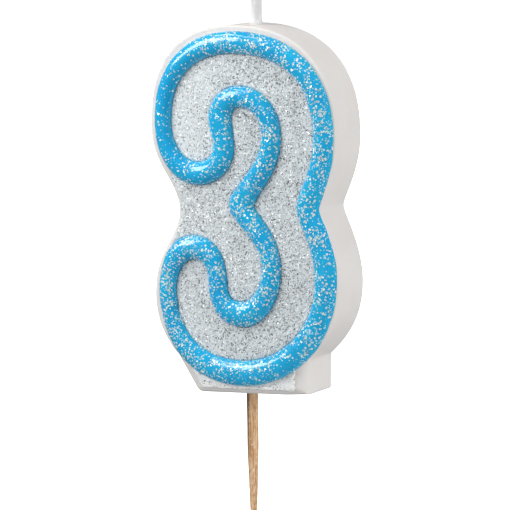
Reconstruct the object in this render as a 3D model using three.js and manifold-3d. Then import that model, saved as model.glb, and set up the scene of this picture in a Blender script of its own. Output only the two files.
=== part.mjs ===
// Number birthday candle, the numeral 3: a moulded wax body with a raised outline of glitter gel, glitter
// coats on its front, a waxed cotton wick and a wooden cake pick.
// Millimetres, +Z up. The numeral faces -Y, the body's mid-plane is y = 0, and the origin is the point
// where the pick's axis leaves the flat underside of the foot.

import * as THREE from 'three';
import { mergeVertices } from 'three/addons/utils/BufferGeometryUtils.js';
import Module from 'manifold-3d';

const wasm = await Module();
wasm.setup();

// Driving dimensions

const bodyThickness = 11;
const frontY = -bodyThickness / 2;
const backY = bodyThickness / 2;
const bodyEdgeRound = 0.6;

const footLeft = -8.8;
const footRight = 14.1;
const footShoulder = { x: -13.2, z: 7 };
const footJoint = { x: footRight, z: 7.9 };
const footCornerRadius = 2.4;
const footCornerHeight = 6.4;

const ridgeHalfWidth = 2.45;
const ridgeHeight = 0.4;
const ridgeY = frontY - ridgeHeight;

const beadHalfWidth = 2.05;
const beadHeight = 1.5;
const beadCrownInset = 1.65;

const coatThickness = 0.3;
const coatMargin = 0.05;
const counterCoat = { left: -14.6, right: 5, bottom: 18, top: 54.5 };
const footCoat = { left: -7.6, right: 12, bottom: 1, shoulderX: -11.2, top: 7 };

const pickLength = 65;
const pickRadius = 1.1;
const pickExposed = 37;
const pickTaper = 27;
const pickTipRadius = 0.15;
const pickTopChamfer = 0.25;

const wickX = 0.85;
const wickBottom = 31;
const wickTop = 79.6;
const wickCoatRadius = 1.05;
const wickCoreRadius = 0.6;
const wickCoreTip = 1.1;

const fitClearance = 0.05;
const endClearance = 0.3;
const roundSides = 24;
const curveSteps = 7;

// Outlines
//
// A node is [x, z, heading, reach in, reach out]. The heading is the outline's direction in degrees, with 0
// towards +X and 90 towards +Z. The reach is how far the outline holds that direction on either side of the
// node, as a share of the straight distance to its neighbour. Outlines run clockwise seen from the front.

const even = 0.4;

// The middle line of the raised outline of the numeral.
const numeralNodes = [
  [-0.5, 66.4, 0, 0.43, 0.46], // top of the upper bowl
  [17.7, 49.2, -90, 0.44, 0.48], // right of the upper bowl
  [14.5, 36.3, -90, 0.14, 0.14], // outer waist
  [18.3, 22.6, -90, 0.52, 0.38], // right of the lower bowl
  [0, 4.55, 180, even, 0.46], // bottom of the lower bowl
  [-14.9, 19.8, 90, even, 0.36], // left of the lower bowl
  [-9.2, 27.7, 0, even, even], // top of the lower hook
  [-4.3, 22, -88, 0.46, 0.46], // inner side of the lower hook
  [0.6, 15.7, 0, 0.46, 0.36], // bottom of the lower counter
  [7.1, 24.3, 90, 0.36, 0.5], // right of the lower counter
  [1.1, 36.2, 90, 0.22, 0.22], // inner waist
  [7, 49.3, 90, 0.46, even], // right of the upper counter
  [0.4, 56.4, 180, even, even], // top of the upper counter
  [-3.8, 52.2, -90, even, 0.36], // left of the upper counter
  [-3, 47.2, -90, 0.36, 0.42], // inner side of the upper hook
  [-8.6, 41.7, 180, even, even], // bottom of the upper hook
  [-15.9, 51.5, 90, even, 0.45], // left of the upper bowl
];

// The curved part of the wax body's outline, from the left shoulder of the foot to its right joint.
const bodyNodes = [
  [footShoulder.x, footShoulder.z, 128, 0, 0.36],
  [-17.9, 18.6, 90, 0.42, 0.5], // left of the lower lobe
  [-13, 34.4, 90, 0.32, 0.34], // open left side
  [-18.8, 50.5, 90, 0.46, 0.48], // left of the upper lobe
  [-0.3, 69.6, 0, 0.47, 0.44], // top
  [20.1, 49.2, -90, 0.46, 0.47], // right of the upper lobe
  [16.6, 36.1, -90, 0.12, 0.12], // waist
  [20.7, 22, -90, 0.46, 0.4], // right of the lower lobe
  [footJoint.x, footJoint.z, -137, 0.34, 0],
];

function addCurves(path, nodes) {
  for (let i = 1; i < nodes.length; i++) {
    const [x0, z0, headingOut, , reachOut] = nodes[i - 1];
    const [x1, z1, headingIn, reachIn] = nodes[i];
    const chord = Math.hypot(x1 - x0, z1 - z0);
    const leave = new THREE.Vector2(chord * reachOut, 0);
    const arrive = new THREE.Vector2(chord * reachIn, 0);
    leave.rotateAround(new THREE.Vector2(), THREE.MathUtils.degToRad(headingOut));
    arrive.rotateAround(new THREE.Vector2(), THREE.MathUtils.degToRad(headingIn));
    path.bezierCurveTo(x0 + leave.x, z0 + leave.y, x1 - arrive.x, z1 - arrive.y, x1, z1);
  }
}

// Points along the closed middle line of the numeral's outline, with no point repeated.
function numeralMiddleLine() {
  const path = new THREE.Path().moveTo(numeralNodes[0][0], numeralNodes[0][1]);
  addCurves(path, [...numeralNodes, numeralNodes[0]]);
  return path.getPoints(curveSteps).slice(0, -1);
}

// The same closed line, moved sideways: outwards where the distance is positive.
function movedSideways(points, distance) {
  return points.map((point, i) => {
    const before = points[(i + points.length - 1) % points.length];
    const after = points[(i + 1) % points.length];
    const outwards = new THREE.Vector2(before.y - after.y, after.x - before.x).normalize();
    return point.clone().addScaledVector(outwards, distance);
  });
}

const middleLine = numeralMiddleLine();

// A ring that follows the middle line, as wide as two half-widths. Its hole runs the other way round.
function outlineRing(halfWidth) {
  const ring = new THREE.Shape(movedSideways(middleLine, halfWidth));
  ring.holes.push(new THREE.Path(movedSideways(middleLine, -halfWidth).reverse()));
  return ring;
}

function bodyOutline() {
  const outline = new THREE.Shape();
  outline.moveTo(footLeft, 0);
  outline.lineTo(footShoulder.x, footShoulder.z);
  addCurves(outline, bodyNodes);
  outline.lineTo(footRight, 0);
  outline.lineTo(footLeft, 0);
  return outline;
}

// Solids

// Extrudes an outline drawn in X and Z through the thickness, forwards from the plane y = behindY.
function slab(outline, behindY, thickness, bevel = {}) {
  const { size = 0, rise = size, steps = 2 } = bevel;
  const geometry = new THREE.ExtrudeGeometry(outline, {
    depth: thickness - 2 * rise,
    bevelEnabled: size > 0,
    bevelSize: size,
    bevelOffset: -size,
    bevelThickness: rise,
    bevelSegments: steps,
    curveSegments: curveSteps,
  });
  geometry.translate(0, 0, rise);
  const standUp = new THREE.Matrix4().makeBasis(
    new THREE.Vector3(1, 0, 0),
    new THREE.Vector3(0, 0, 1),
    new THREE.Vector3(0, -1, 0),
  );
  return geometry.applyMatrix4(standUp).translate(0, behindY, 0);
}

// A turned solid about the vertical axis at x, from [radius, z] points.
function turned(profile, x = 0) {
  const points = profile.map(([radius, z]) => new THREE.Vector2(radius, z));
  return new THREE.LatheGeometry(points, roundSides).rotateX(Math.PI / 2).translate(x, 0, 0);
}

function rod(x, radius, bottom, top) {
  return turned([[0, bottom], [radius, bottom], [radius, top], [0, top]], x);
}

function toSolid(geometry) {
  const bare = new THREE.BufferGeometry();
  bare.setAttribute('position', geometry.getAttribute('position'));
  bare.setIndex(geometry.getIndex());
  const merged = mergeVertices(bare, 1e-4);
  return new wasm.Manifold(new wasm.Mesh({
    numProp: 3,
    vertProperties: merged.getAttribute('position').array,
    triVerts: new Uint32Array(merged.getIndex().array),
  }));
}

function toGeometry(solid) {
  const { vertProperties, triVerts } = solid.getMesh();
  const geometry = new THREE.BufferGeometry();
  geometry.setAttribute('position', new THREE.BufferAttribute(vertProperties, 3));
  geometry.setIndex(new THREE.BufferAttribute(triVerts, 1));
  geometry.computeVertexNormals();
  return geometry;
}

// The corner that the foot's rounded front right edge leaves out: a square less a quarter disc.
function footCornerWaste() {
  const reach = 1;
  const centreX = footRight - footCornerRadius;
  const centreY = frontY + footCornerRadius;
  const waste = new THREE.Shape();
  waste.moveTo(centreX, frontY - reach);
  waste.lineTo(footRight + reach, frontY - reach);
  waste.lineTo(footRight + reach, centreY);
  waste.lineTo(footRight, centreY);
  waste.absarc(centreX, centreY, footCornerRadius, 0, -Math.PI / 2, true);
  const depth = footCornerHeight + reach;
  return new THREE.ExtrudeGeometry(waste, { depth, bevelEnabled: false }).translate(0, 0, -reach);
}

// The back edge is rounded. The front edge is square, and the ridge stands on it without overhanging.
function waxBody() {
  const tall = bodyThickness + bodyEdgeRound;
  const block = toSolid(slab(bodyOutline(), backY, tall, { size: bodyEdgeRound }));
  const ahead = toSolid(new THREE.BoxGeometry(60, 10, 160).translate(0, frontY - 5, 30));
  const band = toSolid(slab(outlineRing(ridgeHalfWidth), frontY + 1, ridgeHeight + 1));
  const silhouette = toSolid(slab(bodyOutline(), frontY + 2, ridgeHeight + 3));
  const ridge = band.intersect(silhouette);
  const pickTop = pickLength - pickExposed;
  const socket = toSolid(rod(0, pickRadius + fitClearance, -1, pickTop + endClearance));
  const channel = toSolid(rod(wickX, wickCoatRadius + fitClearance, wickBottom - endClearance, wickTop));
  const rounded = block.subtract(ahead).subtract(toSolid(footCornerWaste()));
  return toGeometry(rounded.add(ridge).subtract(socket).subtract(channel));
}

// The gel line is domed towards the front and flat where it lies on the ridge.
function outlineBead() {
  const bevel = { size: beadCrownInset, rise: beadHeight, steps: 3 };
  const shim = 0.4;
  const thickness = 2 * beadHeight + shim;
  const lens = toSolid(slab(outlineRing(beadHalfWidth), ridgeY + thickness - beadHeight, thickness, bevel));
  const behind = new THREE.BoxGeometry(60, 10, 120).translate(0, ridgeY + 5, 30);
  return toGeometry(lens.subtract(toSolid(behind)));
}

function numeralCoat() {
  const edge = movedSideways(middleLine, -ridgeHalfWidth - coatMargin);
  return slab(new THREE.Shape(edge), frontY, coatThickness);
}

// Everything on the front that the numeral and its ridge cover.
function underNumeral() {
  const edge = movedSideways(middleLine, ridgeHalfWidth + coatMargin);
  return toSolid(slab(new THREE.Shape(edge), frontY + 1, coatThickness + 2));
}

function counterCoatGeometry() {
  const { left, right, bottom, top } = counterCoat;
  const sheet = new THREE.Shape();
  sheet.moveTo(left, bottom).lineTo(left, top).lineTo(right, top).lineTo(right, bottom);
  const inset = { size: 0.6, rise: 0.1, steps: 1 };
  const front = toSolid(slab(bodyOutline(), frontY, coatThickness, inset));
  const window = toSolid(slab(sheet, frontY + 1, coatThickness + 2));
  return toGeometry(front.intersect(window).subtract(underNumeral()));
}

function footCoatGeometry() {
  const { left, right, bottom, shoulderX, top } = footCoat;
  const sheet = new THREE.Shape();
  sheet.moveTo(left, bottom).lineTo(shoulderX, top).lineTo(right, top).lineTo(right, bottom);
  const strip = toSolid(slab(sheet, frontY, coatThickness));
  return toGeometry(strip.subtract(underNumeral()));
}

function woodenPick() {
  const top = pickLength - pickExposed;
  return turned([
    [0, -pickExposed],
    [pickTipRadius, -pickExposed],
    [pickRadius, pickTaper - pickExposed],
    [pickRadius, top - pickTopChamfer],
    [pickRadius - pickTopChamfer, top],
    [0, top],
  ]);
}

function wickCoat() {
  const bore = wickCoreRadius + fitClearance;
  const top = wickTop - wickCoreTip;
  return turned([
    [bore, wickBottom],
    [wickCoatRadius, wickBottom],
    [wickCoatRadius, top],
    [bore, top],
    [bore, wickBottom],
  ], wickX);
}

// Materials and the assembled group

function piece(name, geometry, color, roughness) {
  const material = new THREE.MeshStandardMaterial({ color, roughness, metalness: 0 });
  const mesh = new THREE.Mesh(geometry, material);
  mesh.name = name;
  return mesh;
}

const candle = new THREE.Group();
candle.name = 'number_birthday_candle';

const wax = new THREE.Group();
wax.add(piece('wax_body', waxBody(), 0xefedec, 0.45));

const decoration = new THREE.Group();
decoration.add(piece('glitter_outline_bead', outlineBead(), 0x14a3e6, 0.15));
decoration.add(piece('glitter_field_numeral', numeralCoat(), 0xc8ccce, 0.35));
decoration.add(piece('glitter_field_counters', counterCoatGeometry(), 0xc8ccce, 0.35));
decoration.add(piece('glitter_strip_foot', footCoatGeometry(), 0xc8ccce, 0.35));

const wick = new THREE.Group();
wick.add(piece('wick_core', rod(wickX, wickCoreRadius, wickBottom, wickTop), 0xf2efe8, 0.9));
wick.add(piece('wick_wax_coat', wickCoat(), 0xe9e7e5, 0.4));

const pick = new THREE.Group();
pick.add(piece('wooden_pick', woodenPick(), 0xc89a66, 0.7));

candle.add(wax, decoration, wick, pick);

export default candle;
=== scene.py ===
import math

import bpy
import numpy as np
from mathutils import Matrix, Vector, kdtree, noise
from mathutils.geometry import delaunay_2d_cdt


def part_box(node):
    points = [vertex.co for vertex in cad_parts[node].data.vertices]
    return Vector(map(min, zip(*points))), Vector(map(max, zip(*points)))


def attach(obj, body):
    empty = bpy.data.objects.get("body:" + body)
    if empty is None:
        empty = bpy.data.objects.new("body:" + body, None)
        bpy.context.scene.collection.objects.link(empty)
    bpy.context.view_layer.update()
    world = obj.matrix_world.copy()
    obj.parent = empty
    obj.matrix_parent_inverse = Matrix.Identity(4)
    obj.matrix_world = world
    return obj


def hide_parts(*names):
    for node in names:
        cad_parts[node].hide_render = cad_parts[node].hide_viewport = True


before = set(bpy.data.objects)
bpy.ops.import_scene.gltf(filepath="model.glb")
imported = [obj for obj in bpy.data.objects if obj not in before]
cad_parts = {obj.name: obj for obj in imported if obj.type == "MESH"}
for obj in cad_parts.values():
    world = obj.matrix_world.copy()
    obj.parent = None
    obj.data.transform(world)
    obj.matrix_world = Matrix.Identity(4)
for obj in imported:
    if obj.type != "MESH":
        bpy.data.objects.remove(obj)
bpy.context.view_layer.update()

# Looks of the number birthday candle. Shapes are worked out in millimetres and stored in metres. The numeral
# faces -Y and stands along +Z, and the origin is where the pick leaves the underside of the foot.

MM = 0.001


def box_mm(node):
    """Lowest and highest corners of a CAD node, in millimetres."""
    low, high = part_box(node)
    return np.array(low) / MM, np.array(high) / MM


# Sizes ------------------------------

body_low, body_high = box_mm("wax_body")
bead_low, _ = box_mm("glitter_outline_bead")
field_low, field_high = box_mm("glitter_field_numeral")
foot_film_low, foot_film_high = box_mm("glitter_strip_foot")
pick_low, pick_high = box_mm("wooden_pick")
coat_low, coat_high = box_mm("wick_wax_coat")
core_low, core_high = box_mm("wick_core")

front_y = field_high[1]
back_y = body_high[1]
crown_y = bead_low[1]
film_thickness = front_y - field_low[1]
ridge_height = front_y - body_low[1]

FOOT_LEFT = -8.8
FOOT_RIGHT = 14.1
FOOT_SHOULDER = (-13.2, 7.0)
FOOT_LEFT_FILLET = 1.7
FOOT_RIGHT_FILLET = 0.4

LINE_STEP = 0.06  # between the points of an outline
COARSE_STEP = 0.3  # between the points of a film's edge
COARSE = round(COARSE_STEP / LINE_STEP)
RUN_STEPS = 80  # points on the curve from one node to the next

# A node is (x, z, heading, reach in, reach out), as in the CAD model: the heading is the outline's direction
# in degrees, and a reach is how far it holds that direction, as a share of the distance to its neighbour.
EVEN = 0.4
NUMERAL_NODES = [
    (-0.5, 66.4, 0, 0.43, 0.46),  # top of the upper bowl
    (17.7, 49.2, -90, 0.44, 0.48),  # right of the upper bowl
    (14.5, 36.3, -90, 0.14, 0.14),  # outer waist
    (18.3, 22.6, -90, 0.52, 0.38),  # right of the lower bowl
    (0, 4.55, 180, EVEN, 0.46),  # bottom of the lower bowl
    (-14.9, 19.8, 90, EVEN, 0.36),  # left of the lower bowl
    (-9.2, 27.7, 0, EVEN, EVEN),  # top of the lower hook
    (-4.3, 22, -88, 0.46, 0.46),  # inner side of the lower hook
    (0.6, 15.7, 0, 0.46, 0.36),  # bottom of the lower counter
    (7.1, 24.3, 90, 0.36, 0.5),  # right of the lower counter
    (1.1, 36.2, 90, 0.22, 0.22),  # inner waist
    (7, 49.3, 90, 0.46, EVEN),  # right of the upper counter
    (0.4, 56.4, 180, EVEN, EVEN),  # top of the upper counter
    (-3.8, 52.2, -90, EVEN, 0.36),  # left of the upper counter
    (-3, 47.2, -90, 0.36, 0.42),  # inner side of the upper hook
    (-8.6, 41.7, 180, EVEN, EVEN),  # bottom of the upper hook
    (-15.9, 51.5, 90, EVEN, 0.45),  # left of the upper bowl
]
# How far the gel line reaches to either side of its middle line at each of those nodes.
BEAD_WIDTHS = [2.1, 2.05, 2.2, 2.2, 2.42, 1.75, 2.3, 1.9, 2.4, 2.0, 2.3, 2.0, 2.0, 2.4, 2.2, 2.2, 1.7]
INNER_WAIST = 10  # the node where the line bulges
WAIST_BULGE = 0.7
WAIST_BULGE_REACH = 0.16

BODY_NODES = [
    (*FOOT_SHOULDER, 128, 0, 0.36),
    (-17.9, 18.6, 90, 0.42, 0.5),  # left of the lower lobe
    (-13, 34.4, 90, 0.32, 0.34),  # open left side
    (-18.8, 50.5, 90, 0.46, 0.48),  # left of the upper lobe
    (-0.3, 69.6, 0, 0.47, 0.44),  # top
    (20.1, 49.2, -90, 0.46, 0.47),  # right of the upper lobe
    (16.6, 36.1, -90, 0.12, 0.12),  # waist
    (20.7, 22, -90, 0.46, 0.4),  # right of the lower lobe
    (FOOT_RIGHT, 7.9, -137, 0.34, 0),
]


# Number helpers ------------------------------


def smoothstep(low, high, value):
    """0 below low, 1 above high, and a smooth rise between them."""
    t = np.clip((np.asarray(value, float) - low) / (high - low), 0, 1)
    return t * t * (3 - 2 * t)


def heading(degrees):
    """The unit (x, z) direction at an angle."""
    angle = math.radians(degrees)
    return np.array([math.cos(angle), math.sin(angle)])


def waves(points, length, seed, octaves=1):
    """Smooth random values from about -1 to 1 at points in mm, with waves about length mm long."""
    shift = Vector((17.3 * seed, 5.1 * seed, 9.7 * seed))
    values = np.zeros(len(points))
    for octave in range(octaves):
        scale = 2**octave / length
        share = 0.5**octave
        values += share * np.array([noise.noise(Vector(p) * scale + shift) for p in points])
    return values


def flat_waves(points, length, seed, octaves=1):
    """The same for (x, z) points."""
    return waves(np.insert(points, 1, 0, axis=1), length, seed, octaves)


# Outlines ------------------------------


def smooth_runs(nodes, closed):
    """Dense points along the runs between nodes, and where each is: 2.5 is half-way from node 2 to 3."""
    after = nodes[1:] + nodes[:1] if closed else nodes[1:]
    t = np.linspace(0, 1, RUN_STEPS, endpoint=False)[:, None]
    line = []
    place = []
    for number, (a, b) in enumerate(zip(nodes, after)):
        start = np.array(a[:2], float)
        end = np.array(b[:2], float)
        chord = np.linalg.norm(end - start)
        leave = start + chord * a[4] * heading(a[2])
        arrive = end - chord * b[3] * heading(b[2])
        first_half = (1 - t) ** 3 * start + 3 * (1 - t) ** 2 * t * leave
        line.append(first_half + 3 * (1 - t) * t**2 * arrive + t**3 * end)
        place.append(number + t[:, 0])
    if not closed:
        line.append(np.array([nodes[-1][:2]], float))
        place.append(np.array([len(nodes) - 1.0]))
    return np.concatenate(line), np.concatenate(place)


def respaced(line, spacing):
    """A closed line with its points a steady spacing apart, and where each is along the old points."""
    loop = np.vstack([line, line[:1]])
    along = np.concatenate([[0], np.cumsum(np.linalg.norm(np.diff(loop, axis=0), axis=1))])
    count = max(8, int(round(along[-1] / spacing)))
    at = np.linspace(0, along[-1], count, endpoint=False)
    old = np.interp(at, along, np.arange(len(loop)))
    points = np.stack([np.interp(at, along, loop[:, k]) for k in range(2)], axis=1)
    return points, old


def outward_normals(line):
    """Of a closed line that runs clockwise seen from the front."""
    step = np.roll(line, -1, axis=0) - np.roll(line, 1, axis=0)
    out = np.stack([-step[:, 1], step[:, 0]], axis=1)
    return out / np.linalg.norm(out, axis=1)[:, None]


def fillet(before, corner, after, radius, steps=8):
    """Points that round a corner of an outline."""
    before, corner, after = (np.array(p, float) for p in (before, corner, after))
    back = (before - corner) / np.linalg.norm(before - corner)
    on = (after - corner) / np.linalg.norm(after - corner)
    half = math.acos(np.clip(back @ on, -1, 1)) / 2
    reach = radius / math.tan(half)
    centre = corner + (back + on) / np.linalg.norm(back + on) * radius / math.sin(half)
    first = corner + back * reach - centre
    last = corner + on * reach - centre
    turn = math.atan2(first[0] * last[1] - first[1] * last[0], first @ last)
    angles = np.linspace(0, turn, steps)
    cos, sin = np.cos(angles), np.sin(angles)
    return centre + np.stack([first[0] * cos - first[1] * sin, first[0] * sin + first[1] * cos], axis=1)


class Outline:
    """A closed line of (x, z) points that answers how far away it is."""

    def __init__(self, points):
        self.points = points
        self.normals = outward_normals(points)
        self.tree = kdtree.KDTree(len(points))
        for i, (x, z) in enumerate(points):
            self.tree.insert((x, z, 0), i)
        self.tree.balance()

    def nearest(self, places):
        """For each place: the nearest point's number, its distance, and the side: 1 outside, -1 inside."""
        found = [self.tree.find((x, z, 0)) for x, z in places]
        number = np.array([f[1] for f in found])
        distance = np.array([f[2] for f in found])
        away = places - self.points[number]
        side = np.where((away * self.normals[number]).sum(axis=1) >= 0, 1, -1)
        return number, distance, side


def inside_loop(points, loop):
    """Whether each (x, z) point is inside the closed loop."""
    x, z = points[:, 0], points[:, 1]
    inside = np.zeros(len(points), bool)
    for (x0, z0), (x1, z1) in zip(loop, np.roll(loop, -1, axis=0)):
        crosses = (z0 > z) != (z1 > z)
        with np.errstate(divide="ignore", invalid="ignore"):
            at = x0 + (z - z0) * (x1 - x0) / (z1 - z0)
        inside ^= crosses & (x < at)
    return inside


ROW_PITCH = 0.87
UNEVENNESS = 0.16


def grid_points(low, high, spacing, seed):
    """Staggered points over a rectangle of x and z, a little uneven so that no rows show."""
    rng = np.random.default_rng(seed)
    rows = np.arange(low[1], high[1], spacing * ROW_PITCH)
    columns = np.arange(low[0], high[0], spacing)
    points = np.array([(x + spacing / 2 * (i % 2), z) for i, z in enumerate(rows) for x in columns])
    return points + rng.uniform(-UNEVENNESS, UNEVENNESS, points.shape) * spacing


def numeral_line():
    """The middle line of the gel, and where each of its points is among the nodes."""
    dense, place = smooth_runs(NUMERAL_NODES, True)
    points, old = respaced(dense, LINE_STEP)
    place = np.append(place, len(NUMERAL_NODES))
    return Outline(points), np.interp(old, np.arange(len(place)), place)


def body_line():
    """The body's outline: the curve over the top, and the foot with its rounded corners."""
    curve, _ = smooth_runs(BODY_NODES, False)
    bottom_left = (FOOT_LEFT, 0)
    bottom_right = (FOOT_RIGHT, 0)
    left = fillet(bottom_right, bottom_left, FOOT_SHOULDER, FOOT_LEFT_FILLET)
    right = fillet(BODY_NODES[-1][:2], bottom_right, bottom_left, FOOT_RIGHT_FILLET)
    return Outline(respaced(np.vstack([left, curve, right]), LINE_STEP)[0])


numeral, numeral_place = numeral_line()
body = body_line()


# Meshes ------------------------------


MERGE_DISTANCE = 1e-5
THINNEST_TRIANGLE = 1e-9
THINNEST_LENS = 0.004


def placed(name, data):
    """A new object in the scene."""
    made = bpy.data.objects.new(name, data)
    bpy.context.scene.collection.objects.link(made)
    return made


def finished(name, vertices, faces, material, sharp):
    """A smooth-shaded piece from vertices in mm. Edges bent by more than sharp degrees stay sharp."""
    mesh = bpy.data.meshes.new(name)
    mesh.from_pydata((np.asarray(vertices, float) * MM).tolist(), [], [list(map(int, f)) for f in faces])
    mesh.validate()
    mesh.shade_smooth()
    mesh.set_sharp_from_angle(angle=math.radians(sharp))
    mesh.materials.append(material)
    piece = placed(name, mesh)
    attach(piece, "root")
    return piece


def triangulated(loops, inner, keep):
    """Fills the area between closed loops with triangles. keep says which (x, z) middles belong to it.
    Returns the points, the triangles and each point's number in the loops and inner points, or -1."""
    points = np.vstack([*loops, inner])
    edges = []
    start = 0
    for loop in loops:
        count = len(loop)
        edges += [(start + i, start + (i + 1) % count) for i in range(count)]
        start += count
    made = delaunay_2d_cdt([Vector(p) for p in points], edges, [], 0, MERGE_DISTANCE)
    source = np.array([ids[0] if ids else -1 for ids in made[3]])
    points = np.array([tuple(p) for p in made[0]])
    faces = np.array([tuple(face) for face in made[2]])
    faces = faces[keep(points[faces].mean(axis=1))]
    a, b, c = (points[faces[:, k]] for k in range(3))
    turn = (b[:, 0] - a[:, 0]) * (c[:, 1] - a[:, 1]) - (b[:, 1] - a[:, 1]) * (c[:, 0] - a[:, 0])
    faces[turn < 0] = faces[turn < 0][:, ::-1]
    return points, faces[np.abs(turn) > THINNEST_TRIANGLE], source


def compacted(vertices, faces):
    """Without the vertices that no face uses."""
    used = np.unique(faces)
    renumber = np.zeros(len(vertices), int)
    renumber[used] = np.arange(len(used))
    return vertices[used], renumber[faces]


def standing(points, y):
    """(x, z) points as vertices at depth y."""
    return np.stack([points[:, 0], np.broadcast_to(y, len(points)), points[:, 1]], axis=1)


def edges_of(faces):
    """The edges of triangles, and how many triangles share each."""
    edges = np.sort(np.vstack([faces[:, [0, 1]], faces[:, [1, 2]], faces[:, [2, 0]]]), axis=1)
    return np.unique(edges, axis=0, return_counts=True)


def rim_points(count, faces):
    """Which of count points lie on the edge of the area that the triangles fill."""
    pairs, times = edges_of(faces)
    rim = np.zeros(count, bool)
    rim[pairs[times == 1]] = True
    return rim


def parted(points, faces):
    """Splits each inner edge that joins two rim points, so that a lens's front and back don't touch there.
    A lone triangle, which has only rim points, is left out."""
    rim = rim_points(len(points), faces)
    pairs, times = edges_of(faces)
    for a, b in pairs[(times == 2) & rim[pairs].all(axis=1)]:
        beside = (faces == a).any(axis=1) & (faces == b).any(axis=1)
        first, second = faces[beside], faces[beside]
        first[first == a] = len(points)
        second[second == b] = len(points)
        faces = np.vstack([faces[~beside], first, second])
        points = np.vstack([points, (points[a] + points[b]) / 2])
    rim = rim_points(len(points), faces)
    return compacted(points, faces[~rim[faces].all(axis=1)])


def lens(points, faces, front, sink):
    """A closed solid whose front and back meet in a sharp rim. front gives y for (x, z) points, and the
    back lies at a depth of sink in the wax."""
    points, faces = parted(points, faces)
    rim = rim_points(len(points), faces)
    behind = wax_front(points) + sink
    ahead = np.where(rim, behind, np.minimum(front(points), behind - THINNEST_LENS))
    number = np.arange(len(points))
    number[~rim] = len(points) + np.arange((~rim).sum())
    vertices = np.vstack([standing(points, ahead), standing(points[~rim], behind[~rim])])
    return vertices, np.vstack([faces, number[faces][:, ::-1]])


# Materials ------------------------------


UNSCALED = (1, 1, 1)


class Shader:
    """A material under construction. An input is fed from a value or from another node's output."""

    def __init__(self, name):
        self.material = bpy.data.materials.new(name)
        self.material.use_nodes = True
        self.tree = self.material.node_tree
        self.principled = self.tree.nodes["Principled BSDF"]
        self.place = self.node("ShaderNodeTexCoord").outputs["Object"]

    def node(self, kind, values=None, **settings):
        made = self.tree.nodes.new(kind)
        for name, value in settings.items():
            setattr(made, name, value)
        for name, value in (values or {}).items():
            self.feed(made.inputs[name], value)
        return made

    def feed(self, socket, value):
        if isinstance(value, bpy.types.NodeSocket):
            self.tree.links.new(value, socket)
        else:
            socket.default_value = value

    def surface(self, **values):
        for name, value in values.items():
            self.feed(self.principled.inputs[name.replace("_", " ")], value)

    def maths(self, operation, a, b):
        made = self.node("ShaderNodeMath", operation=operation)
        self.feed(made.inputs[0], a)
        self.feed(made.inputs[1], b)
        return made.outputs[0]

    def times(self, a, b):
        return self.maths("MULTIPLY", a, b)

    def plus(self, a, b):
        return self.maths("ADD", a, b)

    def stretched(self, scale=UNSCALED):
        """Object coordinates in millimetres, scaled by three factors."""
        factors = [f / MM for f in scale]
        return self.node("ShaderNodeMapping", {"Vector": self.place, "Scale": factors}).outputs[0]

    def noise(self, size, detail=3, roughness=0.55, scale=UNSCALED):
        """Smooth noise from 0 to 1 with features about size mm across."""
        place = self.stretched(scale)
        values = {"Vector": place, "Scale": 1 / size, "Detail": detail, "Roughness": roughness}
        return self.node("ShaderNodeTexNoise", values).outputs["Fac"]

    def cells(self, size, feature="F1", scale=UNSCALED):
        """A Voronoi node whose cells are about size mm across."""
        values = {"Vector": self.stretched(scale), "Scale": 1 / size}
        return self.node("ShaderNodeTexVoronoi", values, feature=feature)

    def ramp(self, value, stops, steps=False):
        """Colours by value, from (position, colour) stops."""
        made = self.node("ShaderNodeValToRGB", {"Fac": value})
        band = made.color_ramp
        band.interpolation = "CONSTANT" if steps else "LINEAR"
        while len(band.elements) < len(stops):
            band.elements.new(1.0)
        for element, (position, colour) in zip(band.elements, stops):
            element.position = position
            element.color = (*colour, 1.0)
        return made.outputs["Color"]

    def between(self, value, low, high, to_low=0.0, to_high=1.0):
        """value moved from the span low to high into the span to_low to to_high, and kept inside it."""
        values = {"Value": value, "From Min": low, "From Max": high, "To Min": to_low, "To Max": to_high}
        return self.node("ShaderNodeMapRange", values, clamp=True).outputs["Result"]

    def mixed(self, factor, a, b, blend="MIX"):
        made = self.node("ShaderNodeMix", data_type="RGBA", blend_type=blend, clamp_factor=True)
        self.feed(made.inputs["Factor"], factor)
        for socket, value in ((made.inputs[6], a), (made.inputs[7], b)):
            self.feed(socket, (*value, 1.0) if isinstance(value, tuple) else value)
        return made.outputs[2]

    def bumped(self, height, distance_mm, strength=1.0, normal=None):
        values = {"Height": height, "Distance": distance_mm * MM, "Strength": strength}
        if normal is not None:
            values["Normal"] = normal
        return self.node("ShaderNodeBump", values).outputs["Normal"]


def wax_material():
    """Matt white moulded wax: faint clouds, a fine bloom and a few pin marks."""
    s = Shader("white_wax")
    clouds = s.noise(9, 4)
    bloom = s.noise(0.5, 5, 0.65)
    tint = s.ramp(clouds, [(0.3, (0.775, 0.748, 0.728)), (0.7, (0.815, 0.792, 0.772))])
    pins = s.cells(1.9)
    pin_mark = s.between(pins.outputs["Distance"], 0.05, 0.08, 1, 0)
    chosen = s.maths("GREATER_THAN", pins.outputs["Color"], 0.72)
    marked = s.times(pin_mark, chosen)
    colour = s.mixed(s.times(marked, 0.35), tint, (0.5, 0.45, 0.43))
    height = s.plus(s.times(bloom, 0.35), s.times(clouds, 1.0))
    height = s.maths("SUBTRACT", height, s.times(marked, 0.4))
    s.surface(
        Base_Color=colour,
        Roughness=s.between(bloom, 0.3, 0.7, 0.42, 0.56),
        Subsurface_Weight=0.55,
        Subsurface_Radius=(1.0, 0.82, 0.66),
        Subsurface_Scale=0.0016,
        Specular_IOR_Level=0.42,
        Normal=s.bumped(height, 0.05, 0.5),
    )
    return s.material


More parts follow.
